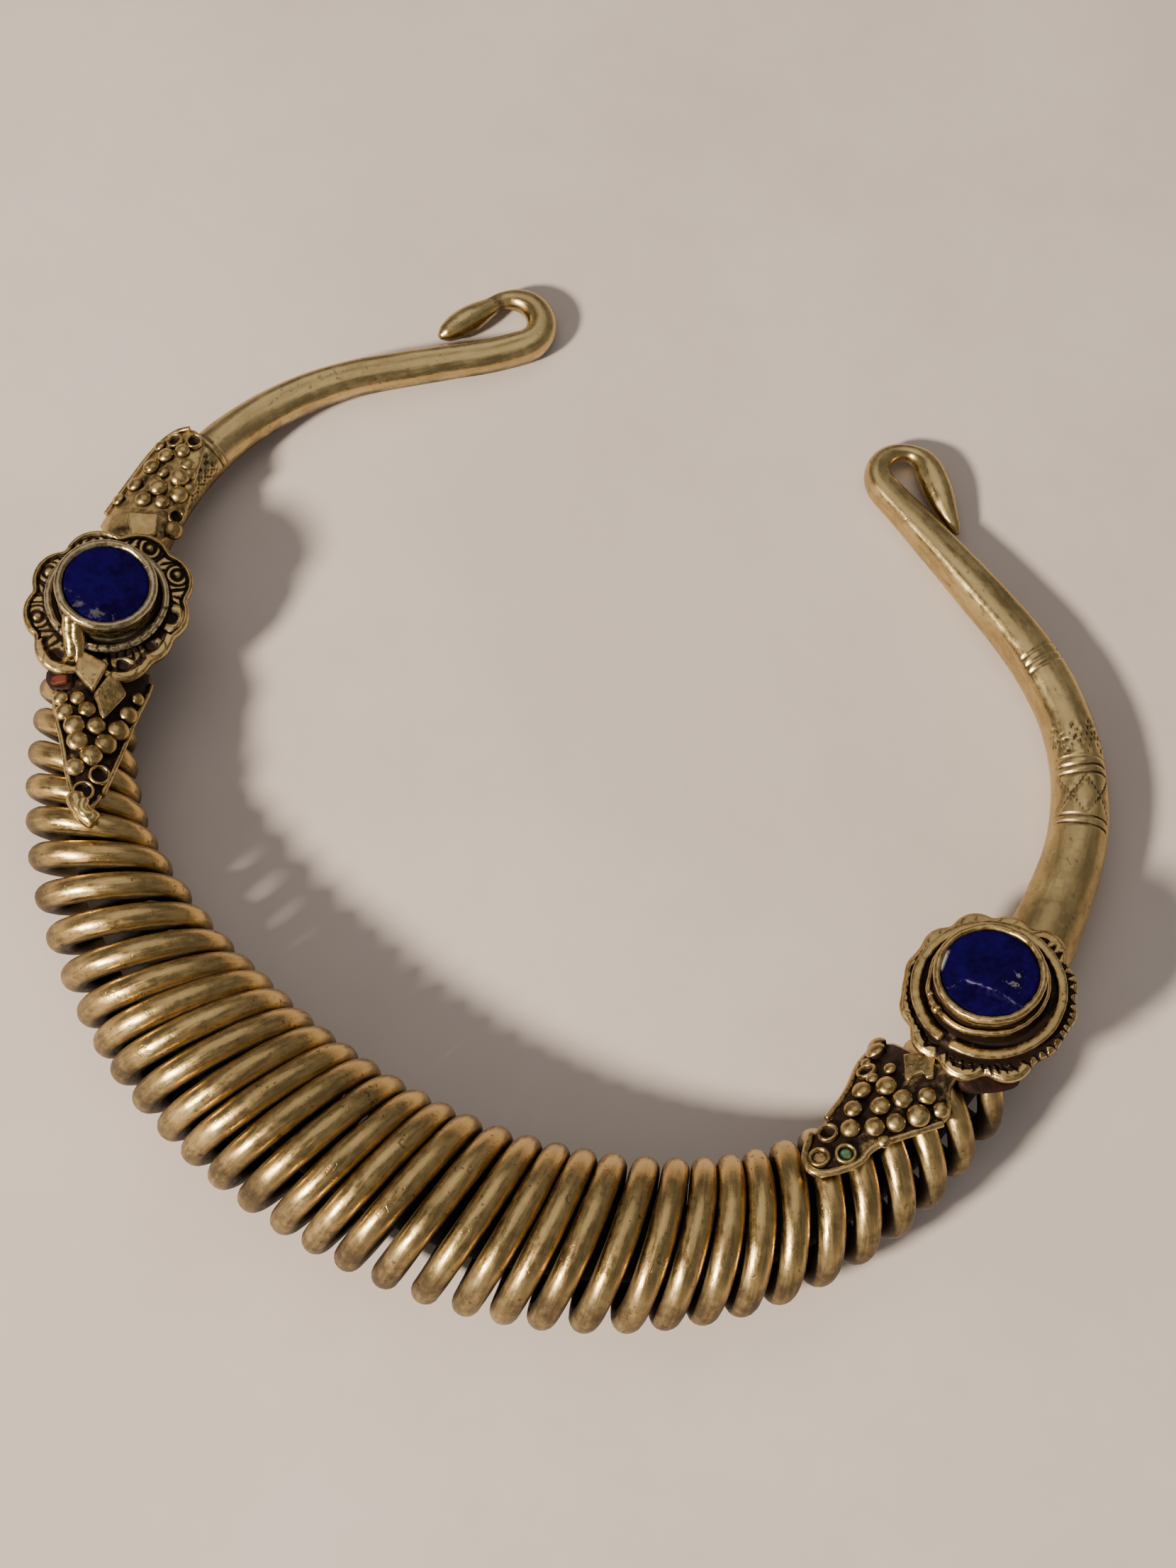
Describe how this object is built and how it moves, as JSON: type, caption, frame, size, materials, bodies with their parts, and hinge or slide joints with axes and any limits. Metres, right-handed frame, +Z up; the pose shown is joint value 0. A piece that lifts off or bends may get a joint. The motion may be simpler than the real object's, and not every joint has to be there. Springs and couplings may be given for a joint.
{
  "type": "spiral choker",
  "caption": "Rigid open neck ring with a thick wire spring round a core rod, two forged arms ending in curled hooks, and a round blue stone in a stepped setting at each end of the spring.",
  "frame": {"origin": "on the surface it lies on, below the middle of its outline seen from above", "axes": "+Y from the spring at the front to the hooks at the back, +X to the arm with the engraved bands, +Z up"},
  "size_m": [0.1634, 0.1534, 0.0244],
  "materials": {
    "arm_metal": "worn, polished on the ridges",
    "wire_metal": "worn, dark in the gaps",
    "setting_metal": "tarnished, dark between the grains",
    "lapis": "polished flat stone with grey flecks",
    "red_chip": "opaque chip",
    "green_inlay": "opaque inlay",
    "resin": "dark natural resin"
  },
  "bodies": {
    "root": {"left_arm": "arm_metal", "left_arm_leaf": "setting_metal", "left_medallion": "setting_metal", "left_stone": "lapis", "left_coil_leaf": "setting_metal", "left_bed": "resin", "left_chip": "red_chip", "spiral_wire_1": "wire_metal", "spiral_wire_2": "wire_metal", "spiral_wire_3": "wire_metal", "spiral_wire_4": "wire_metal", "core_rod": "wire_metal", "right_coil_leaf": "setting_metal", "right_inlay": "green_inlay", "right_medallion": "setting_metal", "right_stone": "lapis", "right_bed": "resin", "right_arm": "arm_metal"}
  },
  "joints": []
}
